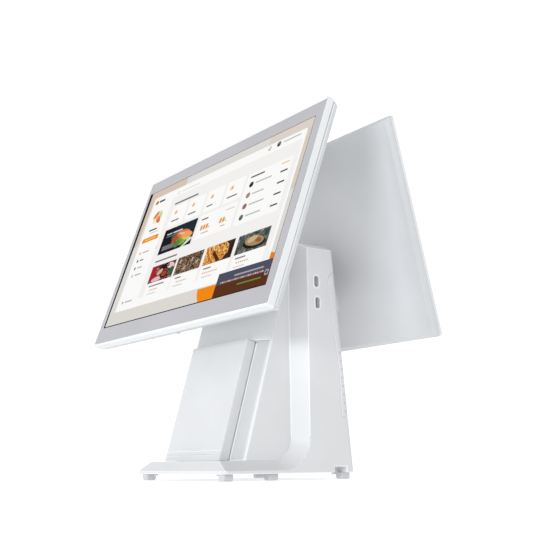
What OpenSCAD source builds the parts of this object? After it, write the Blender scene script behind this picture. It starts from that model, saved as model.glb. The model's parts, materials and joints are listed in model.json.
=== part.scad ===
// Point-of-sale terminal: an operator's touch monitor and a customer display on one stand.
// Origin: on the counter, under the middle of the whole terminal. -Y is the operator's side.
// Every module is drawn about the middle of the stand's footprint, and centred() moves it.

/* [Stand] */
// Width of the base
base_w = 182; // [180:0.5:186]
// Depth of the base, operator's edge to customer's edge
base_d = 170.4; // [169:0.2:174]
// Height of the rubber feet
foot_h = 7; // [6.5:0.1:7.5]
// Height of the base's top ledge above the counter
ledge_z = 20.5; // [20.3:0.1:20.7]
// Height of the column's top above the counter
column_top_z = 258; // [256:0.5:260]
// Half the width of the sloping neck
neck_half_w = 70.3; // [69.5:0.1:71]
// Lean of the neck's front face from vertical, degrees
neck_lean = 15.8; // [15.6:0.1:16]
// Thickness of the plastic shells of the stand
wall = 2.5; // [2.2:0.1:2.8]

/* [Covers] */
// Right edge of the front cover, measured from the middle of the stand
cover_right_x = 43.3; // [41:0.1:45]
// How far the front cover stands proud of the neck
cover_proud = 13.5; // [13:0.1:14]
// How far the upper fascia stands proud of the neck
fascia_proud = 9; // [8.5:0.1:9.5]
// Length of the front cover along the slope
cover_len = 132; // [130:0.5:134]

/* [Displays] */
// Width of the lit area of each 15.6 inch panel
lit_w = 344.2; // [343:0.1:345]
// Height of the lit area of each panel
lit_h = 193.6; // [193:0.1:194]
// Overall width of each display
display_w = 372; // [370:0.5:374]
// Overall height of the operator's monitor
main_h = 240; // [239:0.5:241]
// Lean of the operator's monitor from vertical, degrees
main_lean = 19.7; // [19:0.1:20]
// Overall height of the customer display
customer_h = 243; // [242:0.5:244]
// Lean of the customer display from vertical, degrees
customer_lean = 14.3; // [14:0.1:15]

/* [Clearances] */
// Gap between a moving piece and its neighbours
gap = 0.3; // [0.3:0.05:0.4]
// Radial running clearance of the hinge shafts
run_fit = 0.05; // [0.02:0.01:0.08]

/* [Hidden] */
$fn = 48;

// colours
white = [0.93, 0.94, 0.94];
shade = [0.86, 0.86, 0.87];
steel = [0.62, 0.63, 0.65];
board_green = [0.10, 0.33, 0.20];
black = [0.12, 0.12, 0.13];
grey_glass = [0.77, 0.76, 0.78];
lcd_dark = [0.2, 0.2, 0.22];

// stand outline, seen from the side
half_w = base_w / 2;
half_d = base_d / 2;
rim_z = foot_h + 3;
front_bevel = 5.8;
rear_low_z = 14.5;
rear_low_y = 83;
rear_lean = 5.5;
corner_r = 6;
top_bevel_w = 15;
top_bevel_h = 7.5;
// bevel band that runs along each side of the base and up the column
column_y = 22.8;
band = ledge_z - rim_z;
band_r = 34.9;
band_x = neck_half_w + 0.6;
band_y = column_y - band_r;
band_z = rim_z + band_r;
// neck
neck_y = -48.6;
neck_r = 3.5;
neck_top_z = 240;
fascia_slope_w = 34;
// joint axes, [y, z]
main_axis = [-8, 238];
customer_axis = [75, 222];
// hinge hardware
shaft_r = 4;
barrel_r = 8;
customer_barrel_r = 7.5;
ear_t = 5;
washer_t = 1.4;
nut_t = 4;
main_ear_x = 36;
customer_ear_x = 10;
main_knuckle_len = 18;
customer_knuckle_len = 12;
main_knuckle_x = main_ear_x + ear_t + washer_t + 0.6;
customer_knuckle_x = customer_ear_x + ear_t + washer_t + 0.6;
leaf_t = 3;
// display stack, measured back from the glass
main_lit = [0, -59, 275.9];
main_mid_v = -2;
frame_depth = 8;
groove = 1;
main_depth = 16;
hump_depth = 46;
hump_w = 200;
hump_low_v = -75;
hump_high_v = 40;
glass_w = 370;
glass_h = 232.8;
glass_v = -2.1;
customer_depth = 9;
customer_hump_depth = 24;
customer_face = [0, 99.8, 266.6];
shell_t = 2;
main_spacer_places = [[-50, -40], [50, -40], [-50, 5], [50, 5]];
customer_spacer_places = [[-28, -52], [28, -52], [-9, -30], [9, -30]];
customer_leaf_w = -20.5;
main_leaf_w = -42.5;
// hinge axes seen in their display's frame: up the screen, then out of the glass
main_slot_v = (main_axis[0] - main_lit[1]) * sin(main_lean)
    + (main_axis[1] - main_lit[2]) * cos(main_lean);
main_slot_w = -(main_axis[0] - main_lit[1]) * cos(main_lean)
    + (main_axis[1] - main_lit[2]) * sin(main_lean);
customer_slot_v = -(customer_axis[0] - customer_face[1]) * sin(customer_lean)
    + (customer_axis[1] - customer_face[2]) * cos(customer_lean);
customer_slot_w = (customer_axis[0] - customer_face[1]) * cos(customer_lean)
    + (customer_axis[1] - customer_face[2]) * sin(customer_lean);
// middle of the whole terminal, front to back
front_edge_y = main_lit[1] + (main_mid_v - main_h / 2) * sin(main_lean);
rear_edge_y = customer_face[1] + customer_h / 2 * sin(customer_lean);
middle_y = (front_edge_y + rear_edge_y) / 2;
// side sockets, [y, z]
side_usb = [[35, 213.3], [36, 189.4]];
socket_depth = 14;
socket_set_back = 0.6;
// base plate, feet, screws and bolts
plate_t = 1.8;
foot_size = [10.7, 12.2];
foot_places = [[79.3, -76.8], [-79.3, -76.8], [79.3, 75.5], [-79.3, 75.5], [79.3, -21]];
base_screw_places = [[66, -76], [-66, -76], [66, 74], [-66, 74]];
frame_bolt_places = [[34, 50], [-34, 50], [34, 30], [-34, 30]];
boss_r = 3.4;
pilot_r = 1.6;
screw_head_r = 2.8;
screw_head_h = 1.6;
frame_t = 3;
frame_w = 90;
// main board, seen along the neck
board_t = 1.6;
board_depth = 9;
board_low = 22;
board_size = [112, 104];
board_screw_places = [for (x = [-1, 1], z = [5, board_size[1] - 5])
    [x * (board_size[0] / 2 - 5), board_low + z]];
// connector board behind the rear cover
io_y = 40;
io_low = 70;
jack_z = io_low + 30;
rj_x = [-34, -16, 2];
stack_x = [20, 36];
power_x = 32;
// rear cover
cover_low_z = 66;
cover_top_z = 226;
notch_half_w = 40;
notch_low_z = 208;
vent_slots = 8;
vent_pitch = 9.1;
vent_low_z = 72.5;
vent_size = 3.2;
// cable outlets, one through each side of the base
outlet_y = 63.8;
outlet_w = 16.4;
outlet_h = 6.4;
outlet_depth = 16;
outlet_wall = 1.6;
// power button on the monitor's lower edge
button_w = -12.6;
button_r = 2.6;
button_proud = 0.6;

// Y of the stand's rear face at height z.
function rear_y(z) = rear_low_y - (z - rear_low_z) * tan(rear_lean);

// Radius of the side band's fillet at distance x from the middle, for a shell inset by t.
function fillet_r(x, t) =
    band_r - band + t + (x - band_x + t / 2) * band / (half_w - band_x);

// Front, top and bottom of the stand from the side, inset by t. It runs past the leaning rear.
function stand_outline(t) = [
    [-half_d + t, foot_h - (t > 0 ? 1 : 0)],
    [-half_d + t, rim_z - t / 2],
    [-half_d + front_bevel + t, ledge_z - t],
    [-half_d + front_bevel + t, column_top_z - t],
    [half_d + 5, column_top_z - t],
    [half_d + 5, foot_h - (t > 0 ? 1 : 0)]
];

// Outline of the rear cover's side seam, grown by g.
function seam_outline(g) = [
    [rear_y(cover_low_z) - 11 - g, cover_low_z - g],
    [rear_y(114) - 8.5 - g, 114],
    [51.5 - g, 213],
    [53.2 - g, 221 + g],
    [57.7 - g, cover_top_z + g],
    [120, cover_top_z + g],
    [120, cover_low_z - g]
];

// Extrudes an outline given in Y and Z over a width centred on the middle plane.
module across(width) {
    rotate([90, 0, 90])
        linear_extrude(width, center = true)
            children();
}

// A flat rectangle with round corners, centred.
module round_rect(size, r) {
    square([size[0] - 2 * r, size[1]], center = true);
    square([size[0], size[1] - 2 * r], center = true);
    for (x = [-1, 1], y = [-1, 1])
        translate([x * (size[0] / 2 - r), y * (size[1] / 2 - r)])
            circle(r);
}

// A block centred in X and Y that stands on z = 0.
module block(size) {
    translate([0, 0, size[2] / 2])
        cube(size, center = true);
}

// A panel with round corners between two depths behind the glass.
module panel(size, r, front, back) {
    translate([0, 0, -back])
        linear_extrude(back - front)
            round_rect(size, r);
}

// A hump with four sloping sides, from depth front to depth back.
module tapered_hump(size, slope, front, back) {
    half = size / 2;
    intersection() {
        rotate([90, 0, 0])
            linear_extrude(size[1], center = true)
                polygon([
                    [-half[0], -front], [half[0], -front],
                    [half[0] - slope, -back], [-half[0] + slope, -back]
                ]);
        rotate([90, 0, 90])
            linear_extrude(size[0], center = true)
                polygon([
                    [-half[1], -front], [half[1], -front],
                    [half[1] - slope, -back], [-half[1] + slope, -back]
                ]);
    }
}

// Places children in the neck's frame: Z runs up the slope, -Y points out of the front face.
module on_neck() {
    translate([0, neck_y, ledge_z])
        rotate([-neck_lean, 0, 0])
            children();
}

// Places children in the monitor's frame: Y runs up the screen, +Z points out of the glass.
module on_main() {
    translate(main_lit)
        rotate([90 - main_lean, 0, 0])
            children();
}

// Places children in the customer display's frame, laid out like the monitor's.
module on_customer() {
    translate(customer_face)
        rotate([0, 0, 180])
            rotate([90 - customer_lean, 0, 0])
                children();
}

// Cuts the space beside the neck, with a filleted bevel band on each side.
module band_cut(t) {
    inner_x = band_x - t / 2;
    inner_r = fillet_r(inner_x, t);
    side_x = inner_x - 2;
    outer_x = half_w + 1;
    side_r = fillet_r(side_x, t);
    outer_r = fillet_r(outer_x, t);
    far = half_d + 10;
    high = column_top_z + 10;
    across(2 * inner_x + 2)
        union() {
            translate([band_y, band_z])
                circle(inner_r, $fn = 96);
            polygon([
                [-far, band_z - inner_r], [band_y, band_z - inner_r],
                [band_y, high], [-far, high]
            ]);
            polygon([
                [-far, band_z], [band_y + inner_r, band_z],
                [band_y + inner_r, high], [-far, high]
            ]);
        }
    for (side = [0, 1])
        mirror([side, 0, 0]) {
            translate([side_x, band_y, band_z])
                rotate([0, 90, 0])
                    cylinder(h = outer_x - side_x, r1 = side_r, r2 = outer_r, $fn = 96);
            translate([0, band_y, 0])
                rotate([90, 0, 0])
                    linear_extrude(far + band_y)
                        polygon([
                            [side_x, band_z - side_r], [outer_x, band_z - outer_r],
                            [outer_x, high], [side_x, high]
                        ]);
            translate([0, 0, band_z])
                linear_extrude(high - band_z)
                    polygon([
                        [side_x, -far], [outer_x, -far],
                        [outer_x, band_y + outer_r], [side_x, band_y + side_r]
                    ]);
        }
}

// The wedge-shaped neck, inset by t.
module neck_solid(t) {
    depth = 90;
    r = max(neck_r - t, 1);
    intersection() {
        on_neck()
            translate([0, 0, -20])
                linear_extrude(280)
                    translate([0, t + depth / 2])
                        round_rect([2 * (neck_half_w - t), depth], r);
        across(2 * neck_half_w + 2)
            polygon([
                [neck_y - 20, ledge_z - 1 - 2 * t],
                [band_y + band_r - band + t + 3, ledge_z - 1 - 2 * t],
                [band_y + band_r - band + t + 3, neck_top_z],
                [neck_y - 20, neck_top_z]
            ]);
    }
}

// The whole outer form of the stand, inset by t.
module stand_solid(t) {
    difference() {
        intersection() {
            across(base_w + 4)
                polygon(stand_outline(t));
            translate([0, t - half_d + 100, 0])
                linear_extrude(column_top_z + 10)
                    round_rect([base_w - 2 * t, 200], corner_r);
            translate([0, rear_y(0) - t, 0])
                rotate([rear_lean, 0, 0])
                    translate([0, -120, -30])
                        linear_extrude(320)
                            round_rect([base_w - 2 * t, 240], corner_r);
            rotate([90, 0, 0])
                linear_extrude(base_d + 40, center = true)
                    polygon([
                        [-half_w, 0], [half_w, 0],
                        [half_w, column_top_z - top_bevel_h - t],
                        [half_w - 2 * top_bevel_w, column_top_z + top_bevel_h - t],
                        [-half_w + 2 * top_bevel_w, column_top_z + top_bevel_h - t],
                        [-half_w, column_top_z - top_bevel_h - t]
                    ]);
        }
        band_cut(t);
    }
    neck_solid(t);
}

// The stand's wall, open at the bottom.
module stand_wall() {
    difference() {
        stand_solid(0);
        stand_solid(wall);
    }
}

// The part of the stand's rear that the lift-off cover takes, grown by g.
module rear_cover_region(g) {
    difference() {
        across(base_w + 10)
            polygon(seam_outline(g));
        translate([0, 60, notch_low_z - g + 50])
            cube([2 * (notch_half_w - g), 100, 100], center = true);
    }
}

// Openings in the stand's skin for the arms of a hinge.
module arm_slots(x, t, z, y, h) {
    for (side = [-1, 1])
        translate([side * (x + t / 2), y, z])
            cube([t + 2, 40, h], center = true);
}

// A flat pill-shaped outline, upright.
module pill(w, h) {
    square([w, h - w], center = true);
    for (s = [-1, 1])
        translate([0, s * (h - w) / 2])
            circle(w / 2);
}

// Bosses inside the stand's shell for the base screws and the main board.
module shell_bosses() {
    low = foot_h + plate_t;
    for (p = base_screw_places)
        difference() {
            union() {
                translate([p[0], p[1], low])
                    cylinder(h = ledge_z - wall / 2 - low, r = boss_r);
                if (p[1] > 0)
                    translate([p[0], p[1] + 4, low])
                        block([2 * boss_r, 8, 9]);
            }
            translate([p[0], p[1], low - 1])
                cylinder(h = 7, r = pilot_r);
        }
    on_neck()
        for (p = board_screw_places)
            translate([p[0], board_depth, p[1]])
                rotate([90, 0, 0])
                    difference() {
                        cylinder(h = board_depth - wall / 2, r = boss_r);
                        translate([0, 0, -1])
                            cylinder(h = 7.4, r = pilot_r);
                    }
}

// Pockets that shut the cable outlets off from the inside, open upwards at their inner end.
module outlet_pockets() {
    roof_z = foot_h + outlet_h + outlet_wall;
    reach = outlet_depth + outlet_wall;
    for (side = [0, 1])
        mirror([side, 0, 0])
            difference() {
                translate([half_w - wall / 2 - reach / 2, outlet_y, foot_h])
                    block([reach, outlet_w + 2 * outlet_wall, roof_z - foot_h]);
                translate([half_w - outlet_depth / 2, outlet_y, foot_h - 1])
                    block([outlet_depth + wall, outlet_w, outlet_h + 1]);
                translate([half_w - outlet_depth + 3, outlet_y, foot_h])
                    block([6, outlet_w - 4, 20]);
            }
}

module stand_shell() {
    color(white)
        difference() {
            union() {
                stand_wall();
                shell_bosses();
                outlet_pockets();
            }
            rear_cover_region(0);
            translate([0, 60, notch_low_z + (cover_top_z - notch_low_z) / 2])
                cube([2 * notch_half_w, 60, cover_top_z - notch_low_z], center = true);
            arm_slots(main_ear_x, ear_t, 238, 5, 24);
            arm_slots(customer_ear_x, ear_t, 224, 60, 20);
            for (p = side_usb)
                translate([half_w - 5, p[0], p[1]])
                    rotate([90, 0, 90])
                        linear_extrude(10)
                            pill(7.6, 14.2);
            for (side = [-1, 1])
                translate([side * half_w, outlet_y, foot_h])
                    cube([16, outlet_w, 2 * outlet_h], center = true);
        }
}

module base_plate() {
    color(steel)
        difference() {
            translate([0, -0.9, foot_h])
                linear_extrude(plate_t)
                    round_rect([base_w - 8, base_d - 2 * wall - 3.4], 4);
            for (side = [-1, 1])
                translate([side * (base_w / 2 - 4), outlet_y, foot_h])
                    cube([34, outlet_w + 4, 12], center = true);
            for (p = base_screw_places)
                translate([p[0], p[1], 0])
                    cylinder(h = 20, r = 1.75);
            for (p = frame_bolt_places)
                translate([p[0], p[1], 0])
                    cylinder(h = 20, r = 2.2);
        }
}

module rubber_feet() {
    color(shade)
        for (p = foot_places)
            translate([p[0], p[1], 0]) {
                translate([0, 0, 1])
                    linear_extrude(foot_h - 1)
                        round_rect(foot_size, 2);
                linear_extrude(1)
                    round_rect(foot_size - [1.6, 1.6], 1.4);
            }
}

// Screws with their heads under the base plate, each driven up into its boss.
module base_screws() {
    color(steel)
        for (p = base_screw_places)
            translate([p[0], p[1], foot_h - screw_head_h]) {
                cylinder(h = screw_head_h, r = screw_head_r);
                cylinder(h = 8, r = 1.5);
            }
}

module ballast_weight() {
    color(lcd_dark)
        translate([0, -45, foot_h + plate_t + 0.2])
            linear_extrude(8)
                round_rect([118, 52], 4);
}

// Upright steel channel that carries both hinges.
module stand_frame() {
    low = foot_h + plate_t;
    color(steel)
        difference() {
            union() {
                translate([0, 18.5, low])
                    block([frame_w, frame_t, 238]);
                translate([0, 41, low])
                    block([frame_w, 48, frame_t]);
                for (side = [-1, 1])
                    translate([side * (frame_w - frame_t) / 2, 17, low])
                        rotate([90, 0, 90])
                            linear_extrude(frame_t, center = true)
                                polygon([
                                    [0, 0], [48, 0], [48, 10], [14, 50], [14, 86], [23, 86],
                                    [23, 96], [14, 96], [14, 150], [0, 150]
                                ]);
            }
            for (p = frame_bolt_places)
                translate([p[0], p[1], 0])
                    cylinder(h = 20, r = 2.2);
        }
}

// Bolts that hold the frame to the base plate, with their heads on the frame's foot.
module frame_bolts() {
    color(steel)
        for (p = frame_bolt_places)
            translate([p[0], p[1], foot_h + 0.2]) {
                cylinder(h = 4.7, r = 2);
                translate([0, 0, 4.7])
                    cylinder(h = 2.4, r = 3.8);
            }
}

module mainboard() {
    color(board_green)
        on_neck()
            difference() {
                translate([0, board_depth + board_t / 2, board_low])
                    block([board_size[0], board_t, board_size[1]]);
                for (p = board_screw_places)
                    translate([p[0], board_depth, p[1]])
                        rotate([90, 0, 0])
                            cylinder(h = 10, r = 1.6, center = true);
            }
}

// Screws through the main board's corners into the neck's bosses.
module board_screws() {
    color(steel)
        on_neck()
            for (p = board_screw_places)
                translate([p[0], board_depth + board_t, p[1]])
                    rotate([90, 0, 0]) {
                        cylinder(h = 6, r = 1.5);
                        translate([0, 0, -1.8])
                            cylinder(h = 1.8, r = 2.7);
                    }
}

module cpu_heat_sink() {
    size = 46;
    fins = 9;
    color([0.75, 0.76, 0.78])
        on_neck()
            translate([-18, board_depth + board_t, board_low + 30]) {
                translate([0, 1.5, 0])
                    block([size, 3, size]);
                for (i = [0 : fins - 1])
                    translate([(i - (fins - 1) / 2) * (size - 1.4) / (fins - 1), 6, 0])
                        block([1.4, 7, size]);
            }
}

module memory_module() {
    color([0.16, 0.42, 0.28])
        on_neck()
            translate([33, board_depth + board_t + 1.8, board_low + 24])
                block([30, 3.6, 67.6]);
}

module storage_drive() {
    color(steel)
        translate([0, 23.5, 66])
            block([69.8, 7, 100]);
}

module speaker() {
    color(black)
        translate([-60, -3, foot_h + plate_t])
            difference() {
                cylinder(h = 7, r = 13);
                translate([0, 0, 5])
                    cylinder(h = 3, r1 = 7, r2 = 11);
            }
}

module io_board() {
    color(board_green)
        translate([0, io_y + board_t / 2, io_low])
            block([96, board_t, 60]);
}

// Square jacks for the network, printer and cash drawer, open towards the rear.
module rj_jacks() {
    color(black)
        for (x = rj_x)
            translate([x, io_y + board_t, jack_z])
                difference() {
                    translate([0, 8, -7])
                        block([16, 16, 14]);
                    translate([0, 10, -4.5])
                        block([11.8, 14, 9]);
                }
}

// Upright rear sockets for keyboard, scanner and other devices.
module usb_stacks() {
    color(steel)
        for (x = stack_x)
            translate([x, io_y + board_t, jack_z])
                difference() {
                    translate([0, 7, -7.2])
                        block([8.4, 14, 14.4]);
                    translate([0, 8.5, -6.2])
                        block([5.6, 12, 12.4]);
                }
}

// Barrel jack for the power supply.
module power_jack() {
    color(black)
        translate([power_x, io_y + board_t, io_low + 8]) {
            difference() {
                translate([0, 6.5, -5.5])
                    block([11, 13, 11]);
                translate([0, 3, 0])
                    rotate([-90, 0, 0])
                        cylinder(h = 12, r = 3.2);
            }
            translate([0, 2.5, 0])
                rotate([-90, 0, 0])
                    cylinder(h = 8.5, r = 1);
        }
}

module side_usb_board() {
    color(board_green)
        translate([half_w - socket_set_back - socket_depth - board_t, 25, 178])
            cube([board_t, 22, 46]);
}

// Metal sleeves of the two sockets on the right side of the column.
module side_usb_ports() {
    color(steel)
        for (p = side_usb)
            translate([half_w - socket_set_back - socket_depth, p[0], p[1]])
                rotate([90, 0, 90])
                    difference() {
                        linear_extrude(socket_depth)
                            pill(7, 13.6);
                        translate([0, 0, 1])
                            linear_extrude(socket_depth)
                                pill(6, 12.6);
                    }
}

// Plastic tongues inside the side sockets.
module side_usb_tongues() {
    color(black)
        for (p = side_usb)
            translate([half_w - socket_set_back - socket_depth + 1, p[0] + 1.2, p[1]])
                rotate([90, 0, 90])
                    linear_extrude(8)
                        square([1.6, 9], center = true);
}

// Ears that carry a hinge's shaft, joined by a plate on the stand frame.
module ear_pair(x, t, axis, r, plate_y) {
    for (side = [-1, 1])
        translate([side * (x + t / 2), 0, 0])
            rotate([90, 0, 90])
                linear_extrude(t, center = true)
                    difference() {
                        union() {
                            translate(axis)
                                circle(r);
                            translate([min(axis[0], plate_y), axis[1] - r])
                                square([abs(axis[0] - plate_y), 2 * r]);
                        }
                        translate(axis)
                            circle(shaft_r + run_fit);
                    }
}

module main_hinge_bracket() {
    color(steel) {
        ear_pair(main_ear_x, ear_t, main_axis, barrel_r, 15.2);
        translate([0, 16, main_axis[1] - barrel_r - 6])
            block([2 * (main_ear_x + ear_t), 1.8, 2 * barrel_r + 12]);
    }
}

module customer_hinge_bracket() {
    color(steel) {
        ear_pair(customer_ear_x, ear_t, customer_axis, customer_barrel_r, 22.5);
        translate([0, 21.5, customer_axis[1] - customer_barrel_r - 20])
            block([2 * (customer_ear_x + ear_t), 3, 2 * customer_barrel_r + 24]);
    }
}

// A part of a hinge that lies on its axis: a tube from x to x + length, on both sides.
module axis_tubes(axis, x, length, r, hole_r) {
    for (side = [0, 1])
        mirror([side, 0, 0])
            translate([x, axis[0], axis[1]])
                rotate([0, 90, 0])
                    difference() {
                        cylinder(h = length, r = r);
                        translate([0, 0, -1])
                            cylinder(h = length + 2, r = hole_r);
                    }
}

// Shaft through both ears and both knuckles of a hinge.
module hinge_shaft(axis, knuckle_end) {
    translate([0, axis[0], axis[1]])
        rotate([0, 90, 0])
            cylinder(h = 2 * (knuckle_end + nut_t + 1.5), r = shaft_r, center = true);
}

module main_hinge_shaft() {
    color(steel)
        hinge_shaft(main_axis, main_knuckle_x + main_knuckle_len);
}

module customer_hinge_shaft() {
    color(steel)
        hinge_shaft(customer_axis, customer_knuckle_x + customer_knuckle_len);
}

module main_hinge_washers() {
    color(shade)
        axis_tubes(main_axis, main_ear_x + ear_t + 0.1, washer_t, barrel_r - 1, shaft_r + 0.1);
}

module customer_hinge_washers() {
    color(shade)
        axis_tubes(customer_axis, customer_ear_x + ear_t + 0.1, washer_t, customer_barrel_r - 1,
            shaft_r + 0.1);
}

module main_hinge_nuts() {
    color(steel)
        axis_tubes(main_axis, main_knuckle_x + main_knuckle_len + 0.6, nut_t, barrel_r - 1.5,
            shaft_r + 0.02);
}

module customer_hinge_nuts() {
    color(steel)
        axis_tubes(customer_axis, customer_knuckle_x + customer_knuckle_len + 0.6, nut_t,
            customer_barrel_r - 1.5, shaft_r + 0.02);
}

// Fixed piece that fills the rear cover's notch and lets the customer hinge's arms through.
module customer_hinge_bezel() {
    color(shade)
        difference() {
            intersection() {
                stand_wall();
                translate([0, 60, (notch_low_z + cover_top_z) / 2])
                    cube([2 * (notch_half_w - 2 * gap), 60,
                        cover_top_z - notch_low_z - 2 * gap], center = true);
            }
            arm_slots(customer_ear_x, ear_t, 224, 60, 20);
        }
}

// Outline of the fascia seen along the neck: proud on the left, flush at the right edge.
module fascia_outline(left, right, proud) {
    polygon([
        [left, 1], [left, 1 - proud], [left + 1, -proud],
        [right - fascia_slope_w, -proud], [right, -0.4], [right, 1]
    ]);
}

// Panel on the upper part of the neck, set back from the front cover.
module neck_fascia() {
    left = -neck_half_w;
    right = neck_half_w - 1;
    low = cover_len + 0.5;
    high = 206;
    thick = 2.2;
    color(white)
        on_neck()
            difference() {
                translate([0, 0, low])
                    linear_extrude(high - low)
                        difference() {
                            fascia_outline(left, right, fascia_proud);
                            translate([-200, 0])
                                square([400, 10]);
                        }
                translate([0, thick, low + thick])
                    linear_extrude(high - low - 2 * thick)
                        fascia_outline(left + thick, right - 12, fascia_proud);
            }
}

// Lift-off cover on the lower part of the neck: a tray that is open towards the neck.
module front_cover() {
    left = -neck_half_w;
    right = cover_right_x;
    thick = 2.2;
    groove_t = 0.8;
    color(white)
        intersection() {
            on_neck()
                difference() {
                    translate([(left + right) / 2, (-cover_proud - gap) / 2, -10])
                        linear_extrude(cover_len + 10)
                            round_rect([right - left, cover_proud - gap], 2);
                    translate([(left + right) / 2, thick - cover_proud / 2 + 2, 5])
                        block([right - left - 2 * thick, cover_proud + 4, cover_len - 5 - thick]);
                    for (h = [2.7, 7.2])
                        translate([(left + right) / 2, -cover_proud, h])
                            block([right - left + 10, 2 * groove_t, groove_t]);
                }
            translate([0, 0, ledge_z + gap])
                block([200, 300, 200]);
        }
}

// Lift-off cover of the cable space at the stand's rear, with slots along each corner.
module rear_cover() {
    color(white)
        difference() {
            intersection() {
                stand_wall();
                rear_cover_region(-gap);
            }
            for (side = [-1, 1], i = [0 : vent_slots - 1]) {
                z = vent_low_z + vent_pitch * i;
                translate([side * half_w, rear_y(z) - 5, z])
                    cube([2 * wall + 4, vent_size, vent_size], center = true);
            }
        }
}

// Ring of a display's front frame around its glass.
module display_frame(w, h, mid_v, depth, lip) {
    difference() {
        translate([0, mid_v, 0])
            panel([w, h], 3, 0, depth);
        translate([0, glass_v, 0])
            panel([glass_w + 0.3, glass_h + 0.3], 1.5, -1, 2.6);
        translate([0, glass_v, 0])
            panel([glass_w - 2 * lip, glass_h - 2 * lip], 1.5, -1, depth + 1);
    }
}

module main_frame() {
    color(white)
        on_main()
            display_frame(display_w, main_h, main_mid_v, frame_depth, 4);
}

module main_glass() {
    color(grey_glass)
        on_main()
            translate([0, glass_v, 0])
                panel([glass_w, glass_h], 1.4, 0, 2.2);
}

module main_touch_film() {
    color(black)
        on_main()
            panel([lit_w + 6, lit_h + 6], 1, 2.25, 2.55);
}

module main_lcd() {
    color(lcd_dark)
        on_main()
            panel([lit_w + 10, lit_h + 14], 2, 2.8, 8.6);
}

module main_backplate() {
    color(steel)
        on_main()
            difference() {
                panel([lit_w + 8, lit_h + 10], 3, 9, 10.2);
                for (p = main_spacer_places)
                    translate([p[0], p[1], -20])
                        cylinder(h = 20, r = 2);
            }
}

module main_driver_board() {
    color(board_green)
        on_main()
            translate([0, 25, -15.6])
                block([110, 22, 1.6]);
}

module main_rear_shell() {
    front = frame_depth + groove;
    hump_h = hump_high_v - hump_low_v;
    hump_v = (hump_high_v + hump_low_v) / 2;
    color(shade)
        on_main()
            difference() {
                union() {
                    translate([0, main_mid_v, 0]) {
                        panel([display_w - 2, main_h - 2], 3, front, front + 2);
                        tapered_hump([display_w - 2.2, main_h - 2.2], 2, front + 1, main_depth);
                        panel([display_w - 4, main_h - 4], 2, frame_depth, front + 1);
                    }
                    translate([0, hump_v, 0])
                        tapered_hump([hump_w, hump_h], 14, main_depth - 1, hump_depth);
                }
                translate([0, main_mid_v, 0])
                    panel([display_w - 8, main_h - 8], 2, 0, main_depth - shell_t);
                translate([0, hump_v, 0])
                    tapered_hump([hump_w - 2 * shell_t, hump_h - 2 * shell_t], 14, main_depth - 3,
                        hump_depth - shell_t);
                for (side = [-1, 1])
                    translate([side * (main_knuckle_x + main_knuckle_len / 2), main_slot_v,
                        -hump_depth])
                        cube([main_knuckle_len + 3, 2 * barrel_r + 4, 10], center = true);
                for (side = [-1, 1], i = [0 : 11])
                    translate([side * (118 + 4.5 * i), main_mid_v + 76, -main_depth])
                        linear_extrude(10, center = true)
                            pill(2, 22);
                translate([0, main_mid_v - main_h / 2 + 4, button_w])
                    rotate([90, 0, 0])
                        cylinder(h = 12, r = button_r + gap, center = true);
            }
}

// A display's half of a hinge: two knuckles on arms that rise from a plate.
module hinge_leaf(knuckle_x, knuckle_len, v, w, r, plate, plate_w) {
    difference() {
        union() {
            for (side = [-1, 1])
                translate([side * (knuckle_x + knuckle_len / 2), v, 0]) {
                    translate([0, 0, w])
                        rotate([0, 90, 0])
                            cylinder(h = knuckle_len, r = r, center = true);
                    translate([-knuckle_len / 2, -r, w])
                        cube([knuckle_len, 2 * r, plate_w - w]);
                }
            translate([0, plate[2], plate_w])
                block([plate[0], plate[1], leaf_t]);
        }
        for (side = [-1, 1])
            translate([side * (knuckle_x + knuckle_len / 2), v, w])
                rotate([0, 90, 0])
                    cylinder(h = knuckle_len + 2, r = shaft_r + run_fit, center = true);
    }
}

module main_hinge_leaf() {
    color(steel)
        on_main()
            hinge_leaf(main_knuckle_x, main_knuckle_len, main_slot_v, main_slot_w, barrel_r,
                [140, 64, -18], main_leaf_w);
}

// Spacers between the hinge leaf and the monitor's steel back.
module main_hinge_spacers() {
    color(steel)
        on_main()
            for (p = main_spacer_places)
                translate([p[0], p[1], main_leaf_w + leaf_t])
                    cylinder(h = 29.3, r = 5);
}

// Heads of the screws that hold the monitor's rear shell.
module main_shell_screws() {
    color(steel)
        on_main()
            for (x = [-160, 160], v = [-100, 96])
                translate([x, v, -main_depth - 0.9])
                    cylinder(h = 0.9, r = 3);
}

module power_button() {
    color(shade)
        on_main()
            translate([0, main_mid_v - main_h / 2 + 1 - button_proud, button_w])
                rotate([-90, 0, 0])
                    cylinder(h = 5.6, r = button_r);
}

module power_switch() {
    color(black)
        on_main()
            translate([0, main_mid_v - main_h / 2 + 9.5, button_w - 1.2])
                block([6, 4, 3]);
}

module customer_frame() {
    color(white)
        on_customer()
            display_frame(display_w - 1, customer_h, 0, 3.5, 4);
}

module customer_glass() {
    color(grey_glass)
        on_customer()
            translate([0, glass_v, 0])
                panel([glass_w, glass_h], 1.4, 0, 1.8);
}

module customer_lcd() {
    color(lcd_dark)
        on_customer()
            panel([lit_w + 6, lit_h + 10], 2, 2, 5);
}

module customer_backplate() {
    color(steel)
        on_customer()
            difference() {
                panel([lit_w, lit_h], 3, 5.4, 6.2);
                for (p = customer_spacer_places)
                    translate([p[0], p[1], -20])
                        cylinder(h = 20, r = 1.7);
            }
}

module customer_driver_board() {
    color(board_green)
        on_customer()
            translate([0, -58.5, -11])
                block([42, 13, 1.4]);
}

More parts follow.
